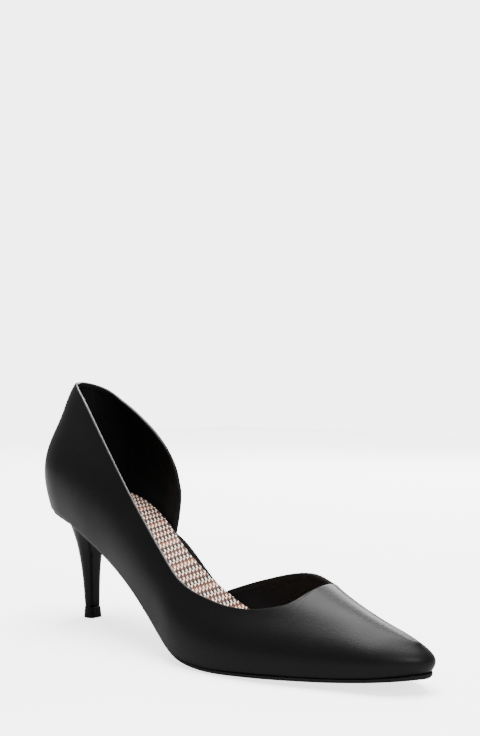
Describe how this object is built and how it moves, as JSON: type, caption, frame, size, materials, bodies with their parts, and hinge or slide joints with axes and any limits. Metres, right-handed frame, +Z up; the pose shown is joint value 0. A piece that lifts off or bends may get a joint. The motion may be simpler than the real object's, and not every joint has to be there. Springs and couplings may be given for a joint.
{
  "type": "half d'orsay pump",
  "caption": "Right-foot court shoe with a slim covered heel, a closed outer side, an inner side cut away at the waist, a low vamp and a checked sock.",
  "frame": {"origin": "on the floor, under the middle of the shoe's bounding box", "axes": "+X towards the toe, +Y to the medial (inner) side, +Z up"},
  "size_m": [0.2528, 0.0815, 0.1348],
  "materials": {
    "black_leather": "semi-matte smooth black leather with fine grain",
    "wrapped_board": "black leather wrap on the insole board",
    "check_cloth": "fine woven houndstooth check in cream, tan and black",
    "sole_rubber": "thin black moulded sole",
    "top_piece": "hard black heel top piece"
  },
  "bodies": {
    "root": {"upper": "black_leather", "outsole": "sole_rubber", "insole": "wrapped_board", "sock_lining": "check_cloth", "heel": "black_leather", "heel_tip": "top_piece"}
  },
  "joints": []
}
